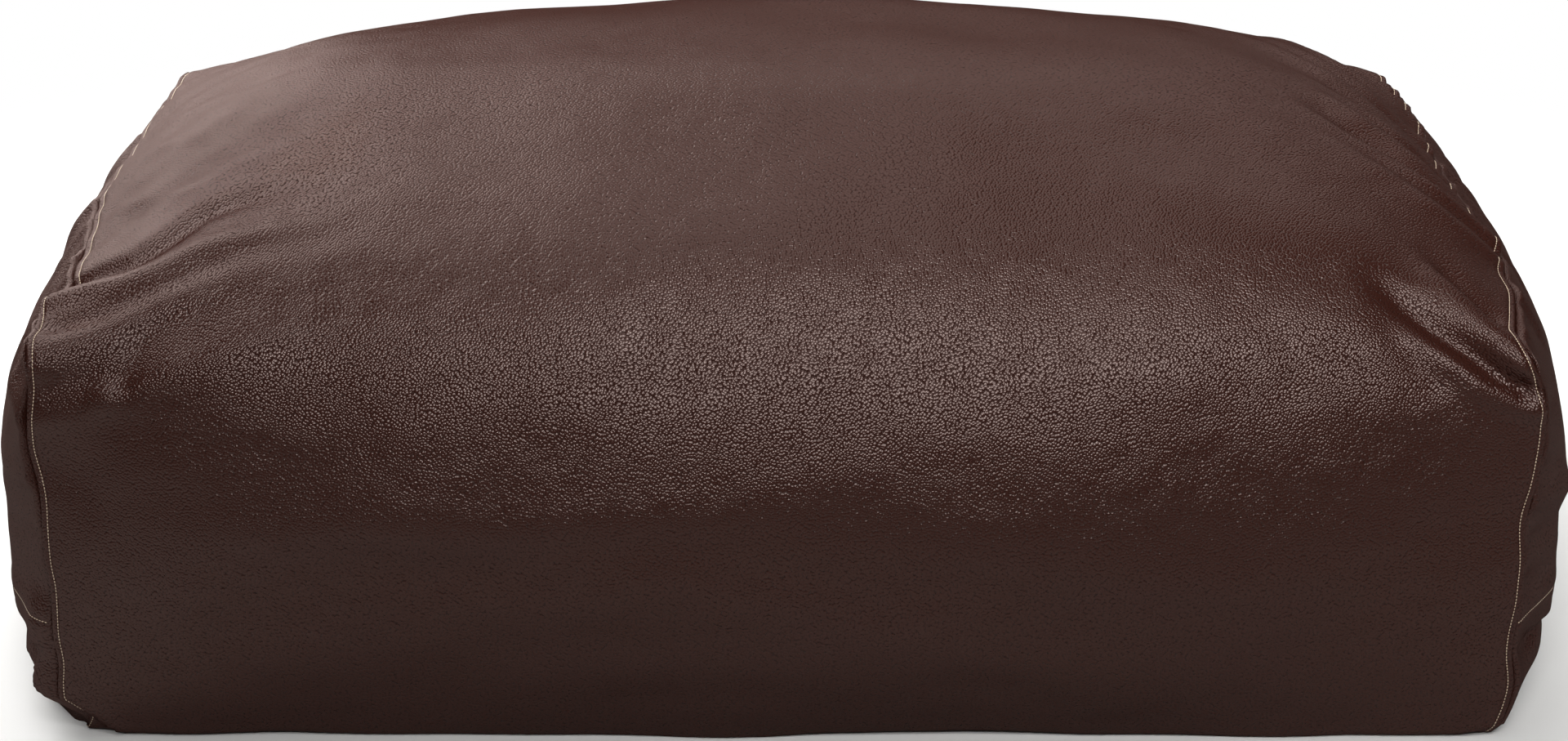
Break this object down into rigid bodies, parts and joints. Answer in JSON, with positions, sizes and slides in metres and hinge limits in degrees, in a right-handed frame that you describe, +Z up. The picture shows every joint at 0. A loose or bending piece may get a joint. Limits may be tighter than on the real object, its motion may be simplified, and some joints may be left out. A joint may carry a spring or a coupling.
{
  "type": "bean bag chair",
  "caption": "Low rectangular bean bag lounger in dark brown pebbled leathercloth, with a crowned top, swollen ends and lapped zips, for sitting or lying on the floor.",
  "frame": {"origin": "middle of the base, on the floor", "axes": "+X along the bag from its left end to its right end as seen from the front, +Y from front to back, +Z up"},
  "size_m": [1.4352, 0.8726, 0.53],
  "materials": {
    "leathercloth": "pebble grain, satin",
    "zip_tape": "woven polyester tape",
    "zip_coil": "nylon coil",
    "zip_metal": "dark lacquer",
    "liner_cloth": "plain woven polyester",
    "polystyrene_beads": "loose beads"
  },
  "bodies": {
    "cover": {"wrap_panel": "leathercloth", "base_panel": "leathercloth", "left_end_panel": "leathercloth", "left_lower_end_panel": "leathercloth", "left_zip_upper_tape": "zip_tape", "left_zip_lower_tape": "zip_tape", "left_zip_upper_coil": "zip_coil", "left_zip_lower_coil": "zip_coil", "left_zip_top_stops": "zip_metal", "left_zip_bottom_stop": "zip_metal", "right_end_panel": "leathercloth", "right_lower_end_panel": "leathercloth", "right_zip_upper_tape": "zip_tape", "right_zip_lower_tape": "zip_tape", "right_zip_upper_coil": "zip_coil", "right_zip_lower_coil": "zip_coil", "right_zip_top_stops": "zip_metal", "right_zip_bottom_stop": "zip_metal", "inner_liner": "liner_cloth", "bead_fill": "polystyrene_beads"},
    "left_slider": {"left_zip_slider": "zip_metal"},
    "right_slider": {"right_zip_slider": "zip_metal"}
  },
  "joints": [
    {"name": "left_zip_run", "type": "hinge", "parent": "cover", "child": "left_slider", "pos_m": [0.59778, 0, 0.101], "axis": [0, 0, 1], "range_deg": [0, 23.9], "deforming": ["left_zip_upper_coil", "left_zip_lower_coil"]},
    {"name": "right_zip_run", "type": "hinge", "parent": "cover", "child": "right_slider", "pos_m": [-0.59778, 0, 0.101], "axis": [0, 0, -1], "range_deg": [0, 23.9], "deforming": ["right_zip_upper_coil", "right_zip_lower_coil"]}
  ]
}
